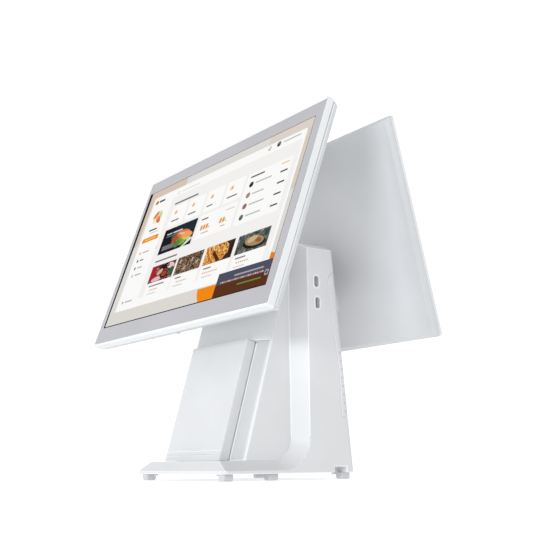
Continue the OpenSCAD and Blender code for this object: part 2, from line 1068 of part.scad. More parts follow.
module customer_rear_shell() {
    hump = [84, 58];
    hump_v = -44;
    color(shade)
        on_customer()
            difference() {
                union() {
                    panel([display_w - 1, customer_h], 3, 3.5, 5);
                    tapered_hump([display_w - 1.2, customer_h - 0.2], 4, 4.5, customer_depth);
                    translate([0, hump_v, 0])
                        tapered_hump(hump, 7, customer_depth - 1, customer_hump_depth);
                }
                panel([display_w - 12, customer_h - 12], 2, 2, customer_depth - 1.8);
                translate([0, hump_v, 0])
                    tapered_hump(hump - [4, 4], 7, customer_depth - 3,
                        customer_hump_depth - shell_t);
                for (side = [-1, 1])
                    translate([side * (customer_knuckle_x + customer_knuckle_len / 2),
                        customer_slot_v, -customer_hump_depth])
                        cube([customer_knuckle_len + 3, 2 * customer_barrel_r + 3, 10],
                            center = true);
            }
}

module customer_hinge_leaf() {
    color(steel)
        on_customer()
            hinge_leaf(customer_knuckle_x, customer_knuckle_len, customer_slot_v,
                customer_slot_w, customer_barrel_r, [66, 31, -41], customer_leaf_w);
}

module customer_hinge_spacers() {
    color(steel)
        on_customer()
            for (p = customer_spacer_places)
                translate([p[0], p[1], customer_leaf_w + leaf_t])
                    cylinder(h = 11.3, r = 3.5);
}

// Low heads of the screws that hold the hinge leaf to its spacers.
module customer_leaf_screws() {
    color(steel)
        on_customer()
            for (p = customer_spacer_places)
                translate([p[0], p[1], customer_leaf_w - 1.2])
                    cylinder(h = 1.2, r = 2.8);
}

// Moves the terminal so that the origin is under its middle.
module centred() {
    translate([0, -middle_y, 0])
        children();
}

centred() stand_shell();
centred() base_plate();
centred() rubber_feet();
centred() ballast_weight();
centred() neck_fascia();
centred() customer_hinge_bezel();
centred() stand_frame();
centred() mainboard();
centred() cpu_heat_sink();
centred() memory_module();
centred() storage_drive();
centred() speaker();
centred() io_board();
centred() rj_jacks();
centred() usb_stacks();
centred() power_jack();
centred() side_usb_board();
centred() side_usb_ports();
centred() side_usb_tongues();
centred() main_hinge_bracket();
centred() main_hinge_shaft();
centred() main_hinge_washers();
centred() main_hinge_nuts();
centred() customer_hinge_bracket();
centred() customer_hinge_shaft();
centred() customer_hinge_washers();
centred() customer_hinge_nuts();
centred() base_screws();
centred() frame_bolts();
centred() board_screws();
centred() front_cover();
centred() rear_cover();
centred() main_glass();
centred() main_touch_film();
centred() main_lcd();
centred() main_frame();
centred() main_rear_shell();
centred() main_backplate();
centred() main_driver_board();
centred() main_hinge_leaf();
centred() main_hinge_spacers();
centred() main_shell_screws();
centred() power_button();
centred() power_switch();
centred() customer_glass();
centred() customer_lcd();
centred() customer_frame();
centred() customer_rear_shell();
centred() customer_backplate();
centred() customer_driver_board();
centred() customer_hinge_leaf();
centred() customer_hinge_spacers();
centred() customer_leaf_screws();
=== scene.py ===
import json
import math

import bmesh
import bpy
from mathutils import Matrix, Vector


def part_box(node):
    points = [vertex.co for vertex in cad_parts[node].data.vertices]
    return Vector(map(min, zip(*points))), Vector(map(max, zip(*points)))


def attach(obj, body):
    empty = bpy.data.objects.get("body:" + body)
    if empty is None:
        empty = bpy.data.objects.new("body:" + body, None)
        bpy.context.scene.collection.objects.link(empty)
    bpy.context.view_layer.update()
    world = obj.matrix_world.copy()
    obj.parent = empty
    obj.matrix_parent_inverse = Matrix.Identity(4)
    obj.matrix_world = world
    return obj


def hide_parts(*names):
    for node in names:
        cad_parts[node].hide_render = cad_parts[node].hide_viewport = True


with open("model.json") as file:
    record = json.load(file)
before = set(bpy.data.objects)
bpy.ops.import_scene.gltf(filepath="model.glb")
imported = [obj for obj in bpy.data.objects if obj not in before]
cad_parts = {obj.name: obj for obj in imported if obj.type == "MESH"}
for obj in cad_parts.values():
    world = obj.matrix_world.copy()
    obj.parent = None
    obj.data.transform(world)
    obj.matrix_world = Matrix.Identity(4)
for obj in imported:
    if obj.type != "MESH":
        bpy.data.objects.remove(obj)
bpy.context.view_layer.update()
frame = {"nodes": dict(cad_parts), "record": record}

NODES = frame["nodes"]
MM = 0.001

# The feet reach this much further from the stand's middle forwards than backwards.
FEET_FORWARD = 1.3 * MM
feet_low, feet_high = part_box("rubber_feet")
# The middle of the stand's footprint, on the counter
STAND_MIDDLE = Vector((0, (feet_low.y + feet_high.y + FEET_FORWARD) / 2, 0))

# The camera: where it stands, how it is turned, in degrees, and its lens, in mm
CAMERA_PLACE = STAND_MIDDLE + Vector((0.88543, -0.60092, 0.01812))
CAMERA_AZIMUTH = 54.411
CAMERA_ELEVATION = -11.805
CAMERA_ROLL = -0.599
CAMERA_LENS = 63.39

# Leans of the neck's front and of the rear cover from vertical, in degrees
NECK_LEAN = 15.8
REAR_LEAN = 5.5
# Half the width of the neck, with a little to spare
NECK_HALF_WIDTH = 70.5 * MM
# How far the middle of each panel lies above the middle of its glass
PANEL_LIFT = 2.1 * MM


# ---------------------------------------------------------------- camera and lights

def camera_matrix(place, azimuth, elevation, roll):
    """A camera's matrix from where it stands and its azimuth, elevation and roll in degrees."""
    a, e, r = (math.radians(v) for v in (azimuth, elevation, roll))
    back = Vector((math.sin(a) * math.cos(e), -math.cos(a) * math.cos(e), math.sin(e)))
    right = Vector((math.cos(a), math.sin(a), 0))
    up = back.cross(right)
    right, up = (math.cos(r) * right + math.sin(r) * up,
                 math.cos(r) * up - math.sin(r) * right)
    turn = Matrix((right, up, back)).transposed().to_4x4()
    return Matrix.Translation(place) @ turn


def make_camera():
    """The scene's camera, at the photograph's viewing angle."""
    data = bpy.data.cameras.new("camera")
    data.sensor_width = 36
    data.lens = CAMERA_LENS
    camera = bpy.data.objects.new("camera", data)
    camera.matrix_world = camera_matrix(CAMERA_PLACE, CAMERA_AZIMUTH, CAMERA_ELEVATION, CAMERA_ROLL)
    bpy.context.scene.collection.objects.link(camera)
    bpy.context.scene.camera = camera


def area_light(name, place, target, size, power, colour=(1, 1, 1)):
    """A soft light of a given width and height that shines from its place to a target."""
    data = bpy.data.lights.new(name, "AREA")
    data.shape = "RECTANGLE"
    data.size, data.size_y = size
    data.energy = power
    data.color = colour
    light = bpy.data.objects.new(name, data)
    light.location = place
    light.visible_camera = False
    aim = Vector(target) - Vector(place)
    light.rotation_euler = aim.to_track_quat("-Z", "Y").to_euler()
    bpy.context.scene.collection.objects.link(light)


def make_world(backdrop, ambient, tones):
    """White backdrop for the camera; on the object an even light, strongest at eye level.

    The tones are the light's greys from straight below, from all round, and from straight above.
    """
    world = bpy.data.worlds.new("studio")
    world.use_nodes = True
    tree = world.node_tree
    tree.nodes.clear()
    seen = tree.nodes.new("ShaderNodeBackground")
    seen.inputs["Color"].default_value = (1, 1, 1, 1)
    seen.inputs["Strength"].default_value = backdrop
    direction = tree.nodes.new("ShaderNodeTexCoord")
    parts = tree.nodes.new("ShaderNodeSeparateXYZ")
    height = tree.nodes.new("ShaderNodeMapRange")
    height.inputs["From Min"].default_value = -1
    shade = tree.nodes.new("ShaderNodeValToRGB")
    shade.color_ramp.interpolation = "EASE"
    shade.color_ramp.elements.new(0.5)
    for element, place, tone in zip(shade.color_ramp.elements, (0, 0.5, 1), tones):
        element.position = place
        element.color = (0.97 * tone, 0.985 * tone, tone, 1)
    lit = tree.nodes.new("ShaderNodeBackground")
    lit.inputs["Strength"].default_value = ambient
    path = tree.nodes.new("ShaderNodeLightPath")
    mix = tree.nodes.new("ShaderNodeMixShader")
    out = tree.nodes.new("ShaderNodeOutputWorld")
    tree.links.new(direction.outputs["Generated"], parts.inputs["Vector"])
    tree.links.new(parts.outputs["Z"], height.inputs["Value"])
    tree.links.new(height.outputs["Result"], shade.inputs["Fac"])
    tree.links.new(shade.outputs["Color"], lit.inputs["Color"])
    tree.links.new(path.outputs["Is Camera Ray"], mix.inputs["Fac"])
    tree.links.new(lit.outputs["Background"], mix.inputs[1])
    tree.links.new(seen.outputs["Background"], mix.inputs[2])
    tree.links.new(mix.outputs["Shader"], out.inputs["Surface"])
    bpy.context.scene.world = world


make_camera()
make_world(backdrop=1.1, ambient=1.19, tones=(0.86, 0.9, 0.46))
area_light("key", place=(0.74, -2.3, 0.44), target=(0, 0, 0.12), size=(1.2, 0.35), power=17.5,
           colour=(0.96, 1, 1))
area_light("floor_bounce", place=(0.45, -0.95, 0.004), target=(0.45, -0.95, 1), size=(1.3, 0.9),
           power=3.2)
# Three faint fills that even out the back of the customer display
area_light("between_displays", place=(0, 0.005, 0.3), target=(0.02, 0.1, 0.26),
           size=(0.24, 0.08), power=0.026)
area_light("beside_column", place=(0.135, -0.01, 0.2), target=(0.13, 0.1, 0.17),
           size=(0.05, 0.13), power=0.008)
area_light("behind_column", place=(0.045, 0.062, 0.15), target=(0.05, 0.12, 0.145),
           size=(0.08, 0.12), power=0.008)
bpy.context.scene.view_settings.view_transform = "Standard"


# ---------------------------------------------------------------- materials

def new_material(name):
    """A material with a Principled shader, and its node tree."""
    material = bpy.data.materials.new(name)
    material.use_nodes = True
    return material, material.node_tree, material.node_tree.nodes["Principled BSDF"]


def noise(tree, scale, detail=3.0, stretch=(1, 1, 1)):
    """Noise over the object's own space; scale is in cells per metre."""
    place = tree.nodes.new("ShaderNodeTexCoord")
    mapping = tree.nodes.new("ShaderNodeMapping")
    mapping.inputs["Scale"].default_value = stretch
    texture = tree.nodes.new("ShaderNodeTexNoise")
    texture.inputs["Scale"].default_value = scale
    texture.inputs["Detail"].default_value = detail
    tree.links.new(place.outputs["Object"], mapping.inputs["Vector"])
    tree.links.new(mapping.outputs["Vector"], texture.inputs["Vector"])
    return texture.outputs["Fac"]


def ramp(tree, value, stops):
    """Colours along a value from 0 to 1; stops are (position, colour) pairs."""
    node = tree.nodes.new("ShaderNodeValToRGB")
    elements = node.color_ramp.elements
    while len(elements) < len(stops):
        elements.new(0.5)
    for element, (position, colour) in zip(elements, stops):
        element.position = position
        element.color = (*colour, 1)
    tree.links.new(value, node.inputs["Fac"])
    return node.outputs["Color"]


def spread(tree, value, low, high):
    """A value from 0 to 1 mapped to a range."""
    node = tree.nodes.new("ShaderNodeMapRange")
    node.inputs["To Min"].default_value = low
    node.inputs["To Max"].default_value = high
    tree.links.new(value, node.inputs["Value"])
    return node.outputs["Result"]


def bump(tree, value, strength, distance):
    """A normal bent by a height from 0 to 1; distance is in metres."""
    node = tree.nodes.new("ShaderNodeBump")
    node.inputs["Strength"].default_value = strength
    node.inputs["Distance"].default_value = distance
    tree.links.new(value, node.inputs["Height"])
    return node.outputs["Normal"]


def srgb(code):
    """Linear colour from a six-digit hex code."""
    parts = [int(code[i:i + 2], 16) / 255 for i in (0, 2, 4)]
    return tuple(c / 12.92 if c <= 0.04045 else ((c + 0.055) / 1.055) ** 2.4 for c in parts)


def shaded(colour, factor):
    """A lighter or darker copy of a colour."""
    return tuple(min(c * factor, 1) for c in colour)


def moulded(name, colour, roughness, grain=2600, depth=0.00003, coat=0.0):
    """Moulded plastic: faint mottling, spark-eroded grain and uneven gloss."""
    material, tree, shader = new_material(name)
    mottle = noise(tree, 22, 4)
    grain_value = noise(tree, grain, 2)
    tree.links.new(ramp(tree, mottle, [(0.3, shaded(colour, 0.975)), (0.7, shaded(colour, 1.02))]),
                   shader.inputs["Base Color"])
    tree.links.new(spread(tree, noise(tree, 90, 3), roughness - 0.05, roughness + 0.06),
                   shader.inputs["Roughness"])
    tree.links.new(bump(tree, grain_value, 0.25, depth), shader.inputs["Normal"])
    shader.inputs["Coat Weight"].default_value = coat
    shader.inputs["Coat Roughness"].default_value = 0.25
    shader.inputs["Specular IOR Level"].default_value = 0.45
    return material


def metal(name, colour, roughness, stretch=(1, 14, 14)):
    """Metal with fine drawn lines and clouded plating."""
    material, tree, shader = new_material(name)
    lines = noise(tree, 260, 4, stretch)
    tree.links.new(ramp(tree, noise(tree, 60, 4), [(0.3, shaded(colour, 0.9)),
                                                   (0.75, shaded(colour, 1.08))]),
                   shader.inputs["Base Color"])
    tree.links.new(spread(tree, lines, roughness - 0.08, roughness + 0.12),
                   shader.inputs["Roughness"])
    tree.links.new(bump(tree, lines, 0.15, 0.00004), shader.inputs["Normal"])
    shader.inputs["Metallic"].default_value = 1
    return material


def circuit(name):
    """Green solder mask with copper runs under it."""
    material, tree, shader = new_material(name)
    place = tree.nodes.new("ShaderNodeTexCoord")
    bricks = tree.nodes.new("ShaderNodeTexBrick")
    bricks.inputs["Scale"].default_value = 180
    bricks.inputs["Color1"].default_value = (0.012, 0.11, 0.045, 1)
    bricks.inputs["Color2"].default_value = (0.018, 0.15, 0.06, 1)
    bricks.inputs["Mortar"].default_value = (0.05, 0.24, 0.09, 1)
    bricks.inputs["Mortar Size"].default_value = 0.03
    tree.links.new(place.outputs["Object"], bricks.inputs["Vector"])
    tree.links.new(bricks.outputs["Color"], shader.inputs["Base Color"])
    tree.links.new(bump(tree, bricks.outputs["Fac"], 0.2, 0.00003), shader.inputs["Normal"])
    shader.inputs["Roughness"].default_value = 0.3
    return material


def printed_glass(name, colour):
    """Cover glass with a print on its back: even colour, deep clear gloss and faint smudges."""
    material, tree, shader = new_material(name)
    tree.links.new(ramp(tree, noise(tree, 12, 2), [(0.3, shaded(colour, 0.97)),
                                                  (0.7, shaded(colour, 1.03))]),
                   shader.inputs["Base Color"])
    tree.links.new(spread(tree, noise(tree, 40, 4), 0.08, 0.16), shader.inputs["Roughness"])
    shader.inputs["Coat Weight"].default_value = 0.6
    shader.inputs["Coat Roughness"].default_value = 0.05
    return material


def lit_colour(name, colour):
    """One colour of the lit picture, with the panel's fine grain of pixels."""
    return lit_pattern(name, 4000, [(0.2, shaded(colour, 0.97)), (0.8, colour)], 1)


def lit_pattern(name, scale, stops, detail=6.0):
    """A mottled pattern of the lit picture."""
    material, tree, shader = new_material(name)
    tree.links.new(ramp(tree, noise(tree, scale, detail), stops), shader.inputs["Emission Color"])
    shader.inputs["Emission Strength"].default_value = 0.98
    shader.inputs["Base Color"].default_value = (0.004, 0.004, 0.004, 1)
    shader.inputs["Roughness"].default_value = 0.35
    shader.inputs["Specular IOR Level"].default_value = 0
    return material


WHITE = moulded("white_moulding", srgb("EFF1F1"), 0.38, coat=0.15)
STAND = moulded("stand_moulding", srgb("DFDFE0"), 0.4, coat=0.1)
LIGHT = moulded("light_moulding", srgb("DCDDDF"), 0.42)
# A lighter copy of the white plastic: painted highlight on the rounded edges of the pale mouldings,
# down the neck's round corners and on the neck bead; also the pale rims round the side sockets.
EDGE = moulded("pale_trim_and_painted_highlight", srgb("F5F6F7"), 0.25, coat=0.3)
RUBBER = moulded("grey_rubber", srgb("D2D2D4"), 0.75, grain=1500, depth=0.00008)
BLACK = moulded("black_moulding", (0.012, 0.012, 0.014), 0.45)
NYLON = moulded("nylon", srgb("E2E2DC"), 0.5)
CASTING = moulded("painted_casting", (0.03, 0.03, 0.033), 0.6, grain=900, depth=0.0002)
# A darker copy of the stand plastic: painted shade on the front face of the neck.
NECK_SHADE = moulded("painted_shade_moulding", srgb("D2D3D4"), 0.5)
STEEL = metal("plated_steel", (0.56, 0.57, 0.58), 0.34)
ALLOY = metal("alloy", (0.72, 0.73, 0.75), 0.4, (14, 14, 1))
BOARD = circuit("circuit_board")
GLASS = printed_glass("printed_glass", srgb("B1AFB4"))
DARK_GLASS = printed_glass("dark_panel", (0.012, 0.012, 0.015))

SLOT_MATERIALS = {
    "white_plastic": WHITE, "light_plastic": LIGHT, "grey_rubber": RUBBER,
    "dark_iron": CASTING, "plated_steel": STEEL, "nylon": NYLON, "circuit_board": BOARD,
    "alloy": ALLOY, "black_plastic": BLACK, "cover_glass": GLASS,
    "lit_screen": DARK_GLASS, "dark_screen": DARK_GLASS,
}
SLOT_OF = {part["node"]: part["material_slot"] for part in frame["record"]["subparts"]}
STAND_NODES = ("stand_shell", "front_cover", "rear_cover", "customer_hinge_bezel")
BODY_OF = {node: body for body, nodes in frame["record"]["behaviour"]["bodies"].items()
           for node in nodes}


def finish_of(node):
    """The material of a CAD node: its slot's, or one of its own."""
    if node in STAND_NODES:
        return STAND
    return {"neck_fascia": WHITE, "side_usb_ports": LIGHT, "side_usb_tongues": NYLON}.get(
        node, SLOT_MATERIALS[SLOT_OF[node]])


# ---------------------------------------------------------------- mesh helpers

def add_object(name, mesh, materials, body):
    """A piece with its materials, riding on a body, under one of the record's slots."""
    piece = bpy.data.objects.new(name, mesh)
    for material in materials:
        mesh.materials.append(material)
    bpy.context.scene.collection.objects.link(piece)
    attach(piece, body)
    return piece


def mesh_from(bm, name, smooth_angle=32):
    """A mesh from a bmesh, smooth-shaded except over edges sharper than the angle."""
    limit = math.radians(smooth_angle)
    for face in bm.faces:
        face.smooth = True
    for edge in bm.edges:
        edge.smooth = len(edge.link_faces) == 2 and edge.calc_face_angle(0) < limit
    mesh = bpy.data.meshes.new(name)
    bm.to_mesh(mesh)
    bm.free()
    return mesh


def round_outline(width, height, radius, steps=6):
    """Points of a rectangle with round corners, counter-clockwise, centred."""
    points = []
    for k in range(4):
        cx = (width / 2 - radius) * (1, -1, -1, 1)[k]
        cy = (height / 2 - radius) * (1, 1, -1, -1)[k]
        for i in range(steps + 1):
            angle = math.pi / 2 * (k + i / steps)
            points.append((cx + radius * math.cos(angle), cy + radius * math.sin(angle)))
    return points


def add_prism(bm, points, low, high, matrix, material=0):
    """Adds a closed prism over an outline between two heights."""
    bottom = [bm.verts.new(matrix @ Vector((x, y, low))) for x, y in points]
    top = [bm.verts.new(matrix @ Vector((x, y, high))) for x, y in points]
    count = len(points)
    faces = [bm.faces.new(top), bm.faces.new(bottom[::-1])]
    for i in range(count):
        j = (i + 1) % count
        faces.append(bm.faces.new((bottom[i], bottom[j], top[j], top[i])))
    for face in faces:
        face.material_index = material


def refined(node, radius, segments=3, sharp=25):
    """Replaces a CAD node with the same form, its sharp edges rounded to a radius in mm.

    On the pale mouldings the rounded edges get the lighter edge plastic: a painted highlight along
    each edge.
    """
    bm = bmesh.new()
    bm.from_mesh(NODES[node].data)
    bmesh.ops.remove_doubles(bm, verts=bm.verts, dist=2e-6)
    bmesh.ops.dissolve_limit(bm, angle_limit=math.radians(0.6), verts=bm.verts, edges=bm.edges)
    limit = math.radians(sharp)
    # Pale mouldings get the lighter plastic on their rounded edges, as a painted highlight
    painted_highlight = finish_of(node) in (WHITE, STAND, LIGHT) and node != "customer_rear_shell"
    least = (4 * radius * MM) ** 2
    edges = [e for e in bm.edges if len(e.link_faces) == 2 and e.calc_face_angle(0) > limit
             and min(f.calc_area() for f in e.link_faces) > least]
    bmesh.ops.bevel(bm, geom=edges, offset=radius * MM, segments=segments, profile=0.5,
                    affect="EDGES", clamp_overlap=False, material=1 if painted_highlight else -1)
    bmesh.ops.triangulate(bm, faces=[f for f in bm.faces if len(f.verts) > 4])
    mesh = mesh_from(bm, node + "_finish", 40)
    materials = [finish_of(node), EDGE] if painted_highlight else [finish_of(node)]
    piece = add_object(node + "_finish", mesh, materials, BODY_OF[node])
    normals = piece.modifiers.new("normals", "WEIGHTED_NORMAL")
    normals.keep_sharp = True
    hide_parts(node)
    return piece


def panel_frame(node, facing):
    """Matrix of a flat panel: origin at the middle of its outer face, X right, Y up, Z out."""
    mesh = NODES[node].data
    areas = {}
    for polygon in mesh.polygons:
        key = tuple(round(c, 2) for c in polygon.normal)
        areas[key] = areas.get(key, 0) + polygon.area
    axis = Vector(max((k for k in areas if k[1] * facing > 0), key=areas.get)).normalized()
    exact = max((p for p in mesh.polygons if p.normal.dot(axis) > 0.99), key=lambda p: p.area)
    out = exact.normal.copy()
    up = (Vector((0, 0, 1)) - out * out.z).normalized()
    right = up.cross(out)
    spans = []
    for direction in (right, up, out):
        along = [v.co.dot(direction) for v in mesh.vertices]
        spans.append((min(along), max(along)))
    centre = right * sum(spans[0]) / 2 + up * sum(spans[1]) / 2 + out * spans[2][1]
    size = (spans[0][1] - spans[0][0], spans[1][1] - spans[1][0], spans[2][1] - spans[2][0])
    turn = Matrix((right, up, out)).transposed().to_4x4()
    return Matrix.Translation(centre) @ turn, size


# ---------------------------------------------------------------- CAD nodes

for node_name, node_object in NODES.items():
    node_object.data.materials.clear()
    node_object.data.materials.append(finish_of(node_name))

# Radius in mm to which each moulding's or casting's edges are rounded
ROUNDED = {
    "stand_shell": 0.8, "front_cover": 0.5, "rear_cover": 0.5, "neck_fascia": 0.5,
    "customer_hinge_bezel": 0.4, "main_frame": 0.9, "main_rear_shell": 0.8,
    "customer_frame": 0.7, "customer_rear_shell": 1.2, "rubber_feet": 0.5,
    "main_hinge_bracket": 0.4, "customer_hinge_bracket": 0.4, "main_hinge_leaf": 0.4,
    "customer_hinge_leaf": 0.4, "power_button": 0.4, "side_usb_ports": 0.15,
}
finished = {name: refined(name, edge_radius) for name, edge_radius in ROUNDED.items()}


# ---------------------------------------------------------------- small details of the stand

def add_ring(bm, outer, inner, low, high, matrix):
    """Adds a closed ring between two outlines with the same number of points."""
    rows = [[bm.verts.new(matrix @ Vector((x, y, z))) for x, y in outline]
            for outline, z in ((outer, low), (outer, high), (inner, high), (inner, low))]
    count = len(outer)
    for a, b in zip(rows, rows[1:] + rows[:1]):
        for i in range(count):
            j = (i + 1) % count
            bm.faces.new((a[i], a[j], b[j], b[i]))


def neck_axes():
    """The directions up the neck's front and out of it."""
    lean = math.radians(NECK_LEAN)
    return (Vector((0, math.sin(lean), math.cos(lean))),
            Vector((0, -math.cos(lean), math.sin(lean))))


def socket_rims():
    """Bright moulded rims around the sockets on the column's right side."""
    ports = NODES["side_usb_ports"].data
    heights = sorted(v.co.z for v in ports.vertices)
    middle = (heights[0] + heights[-1]) / 2
    wall_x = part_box("stand_shell")[1].x
    bm = bmesh.new()
    for side in (-1, 1):
        own = [v.co for v in ports.vertices if (v.co.z - middle) * side > 0]
        y = (min(c.y for c in own) + max(c.y for c in own)) / 2
        z = (min(c.z for c in own) + max(c.z for c in own)) / 2
        facing = Matrix(((0, 0, 1, wall_x), (1, 0, 0, y), (0, 1, 0, z), (0, 0, 0, 1)))
        outlines = [round_outline(width * MM, (width + 6.6) * MM, (width / 2 - 0.01) * MM, 8)
                    for width in (9.6, 6.2)]
        add_ring(bm, *outlines, -0.05 * MM, 0.25 * MM, facing)
    bmesh.ops.recalc_face_normals(bm, faces=bm.faces)
    edges = [e for e in bm.edges if e.calc_face_angle(0) > math.radians(60)]
    bmesh.ops.bevel(bm, geom=edges, offset=0.1 * MM, segments=2, affect="EDGES")
    return add_object("socket_rims", mesh_from(bm, "socket_rims"), [EDGE], "stand")


def shade_and_highlight_neck(shell):
    """Painted shade on the front of the neck, in a darker copy of the stand plastic, and a painted
    highlight line down each of its round corners.
    """
    mesh = shell.data
    mesh.materials.append(NECK_SHADE)
    up, out = neck_axes()
    for face in mesh.polygons:
        if abs(face.normal.dot(up)) > 0.02 or abs(face.center.x) > NECK_HALF_WIDTH:
            continue
        turn = math.degrees(math.acos(max(-1, min(1, face.normal.dot(out)))))
        # Painted shade on the front face (the darker plastic); painted highlight down the round
        # corners (the lighter edge plastic)
        if turn < 2:
            face.material_index = 2
        elif 38 < turn < 66:
            face.material_index = 1


def neck_highlight_bead():
    """A fine raised line on the neck beside the front cover's right side, in the lighter edge
    plastic: a painted highlight line along the gap.
    """
    cover = NODES["front_cover"].data
    right = max(v.co.x for v in cover.vertices)
    up, out = neck_axes()
    side = [v.co for v in cover.vertices if v.co.x > right - 3 * MM]
    depth = min(c.dot(out) for c in side) - 0.3 * MM
    along = [c.dot(up) for c in side if c.dot(out) < depth + 1 * MM]
    start, end = min(along) + 1 * MM, max(along) - 1 * MM
    x = right + 0.7 * MM
    place = Matrix.Translation(Vector((x, 0, 0)) + out * depth + up * start)
    turn = Matrix((Vector((1, 0, 0)), -out, up)).transposed().to_4x4()
    half_width, height, root = 0.5 * MM, 1.1 * MM, 0.1 * MM
    steps = [math.pi * k / 8 for k in range(9)]
    outline = [(half_width * math.cos(a), -height * math.sin(a)) for a in steps[::-1]]
    outline += [(half_width, root), (-half_width, root)]
    bm = bmesh.new()
    add_prism(bm, outline, 0, end - start, place @ turn)
    bmesh.ops.recalc_face_normals(bm, faces=bm.faces)
    return add_object("neck_highlight_bead", mesh_from(bm, "neck_highlight_bead"), [EDGE], "stand")


def vent_liners():
    """Grey strips inside the rear cover's side walls that close its slots to dust."""
    cover = NODES["rear_cover"].data
    low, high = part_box("rear_cover")
    lean = math.radians(REAR_LEAN)
    up = Vector((0, -math.sin(lean), math.cos(lean)))
    back = Vector((0, math.cos(lean), math.sin(lean)))
    depth = max(v.co.dot(back) for v in cover.vertices) - 5 * MM
    foot = (low.z + 2 * MM - depth * math.sin(lean)) / math.cos(lean)
    half_x, half_y, length = 0.3 * MM, 2.1 * MM, 75 * MM
    outline = [(-half_x, -half_y), (half_x, -half_y), (half_x, half_y), (-half_x, half_y)]
    turn = Matrix((Vector((1, 0, 0)), back, up)).transposed().to_4x4()
    bm = bmesh.new()
    for side in (-1, 1):
        x = side * (high.x - 1 * MM)
        place = Matrix.Translation(Vector((x, 0, 0)) + back * depth + up * foot)
        add_prism(bm, outline, 0, length, place @ turn)
    bmesh.ops.recalc_face_normals(bm, faces=bm.faces)
    return add_object("vent_liners", mesh_from(bm, "vent_liners"), [RUBBER], "rear_cover")


socket_rims()
vent_liners()
shade_and_highlight_neck(finished["stand_shell"])
neck_highlight_bead()


# ---------------------------------------------------------------- glass and picture

def glass_slab(name, node, facing, body):
    """A cover glass with ground edges."""
    matrix, size = panel_frame(node, facing)
    bm = bmesh.new()
    add_prism(bm, round_outline(size[0], size[1], 1.4 * MM), -size[2], 0, matrix)
    edges = [e for e in bm.edges if e.calc_face_angle(0) > math.radians(60)]
    bmesh.ops.bevel(bm, geom=edges, offset=0.35 * MM, segments=3, affect="EDGES")
    piece = add_object(name, mesh_from(bm, name), [GLASS], body)
    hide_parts(node)
    return matrix


class Picture:
    """A lit picture made of thin plates stacked on a panel, measured in mm from its middle."""

    LAYER = 0.012 * MM

    def __init__(self, matrix):
        self.matrix = matrix
        self.bm = bmesh.new()
        self.materials = []

    def index(self, paint):
        """The material slot of a paint, which is a material or a hex colour."""
        if isinstance(paint, str):
            name = "picture_" + paint
            paint = bpy.data.materials.get(name) or lit_colour(name, srgb(paint))
        if paint not in self.materials:
            self.materials.append(paint)
        return self.materials.index(paint)

    def shape(self, points, paint, layer):
        """A plate over an outline; higher layers stand in front of lower ones."""
        points = [(x * MM, y * MM) for x, y in points]
        add_prism(self.bm, points, 0, layer * self.LAYER, self.matrix, self.index(paint))

    def rect(self, left, bottom, right, top, paint, layer, radius=0.0):
        """A rectangle between its edges, with round corners if it has a radius."""
        if radius:
            outline = round_outline(right - left, top - bottom, radius, 4)
            cx, cy = (left + right) / 2, (bottom + top) / 2
            self.shape([(x + cx, y + cy) for x, y in outline], paint, layer)
        else:
            self.shape([(left, bottom), (right, bottom), (right, top), (left, top)], paint, layer)

    def bar(self, left, middle, right, height, paint, layer):
        """A short rounded bar that stands where a line of writing would."""
        self.rect(left, middle - height / 2, right, middle + height / 2, paint, layer,
                  height * 0.45)

    def disc(self, x, y, rx, ry, paint, layer, turn=0.0, steps=28):
        """An ellipse about a point, turned by an angle in degrees."""
        c, s = math.cos(math.radians(turn)), math.sin(math.radians(turn))
        points = []
        for i in range(steps):
            a = 2 * math.pi * i / steps
            u, v = rx * math.cos(a), ry * math.sin(a)
            points.append((x + c * u - s * v, y + s * u + c * v))
        self.shape(points, paint, layer)

    def finish(self, name, body):
        """The whole picture as one piece."""
        mesh = mesh_from(self.bm, name)
        return add_object(name, mesh, self.materials, body)


def draw_wallpaper(p, half_w, half_h):
    """Pale warm fields behind the window, and the orange shapes at the lower edge."""
    p.rect(-half_w, -half_h, half_w, half_h, "E2DFDB", 1)
    p.shape([(-half_w, half_h), (-half_w, 12), (-164, 18), (-160, 84), (-82, 84), (-82, half_h)],
            "D8C6B5", 2)
    p.rect(95, 84, half_w, half_h, "DED4CB", 2)
    p.rect(164, 10, half_w, 84, "DCCFC4", 2)
    p.rect(-half_w, -half_h, 44, -80, "DEDBD5", 2)
    p.shape([(39, -80.5), (78, -80.5), (78, -half_h), (47, -half_h), (41, -88)], "F58A0B", 3)
    p.shape([(162, -60), (half_w, -63), (half_w, -70), (162, -70)], "F07F08", 3)


def draw_banner(p, half_w, half_h):
    """The dark strip across the lower right corner."""
    p.rect(76, -83, half_w, -69, "4F4F63", 8)
    p.rect(76, -half_h, half_w, -83, "5A3018", 8)
    p.bar(108, -76.2, 160, 1.8, "A9A9B4", 9)
    for k in range(26):
        tone = ("E9A24A", "D9D6DC", "C8C4CC", "E0883A")[k % 4]
        p.bar(84 + 3 * k, -81, 86.2 + 3 * k, 1.8, tone, 9)
    p.bar(118, -88, 160, 1.6, "6E8A38", 9)
    p.rect(164.5, -86.5, 170.5, -80.5, "BDB9BE", 9, 1.4)
    p.rect(165.6, -85.4, 169.4, -81.6, "5B4A4A", 10, 0.8)


def draw_window(p):
    """The white window and the grey field on it."""
    p.rect(-158, -79, 165, 85.5, "FDFDFC", 4, 3)
    p.rect(-106, -68, 161, 73, "F6F4F2", 5, 2)


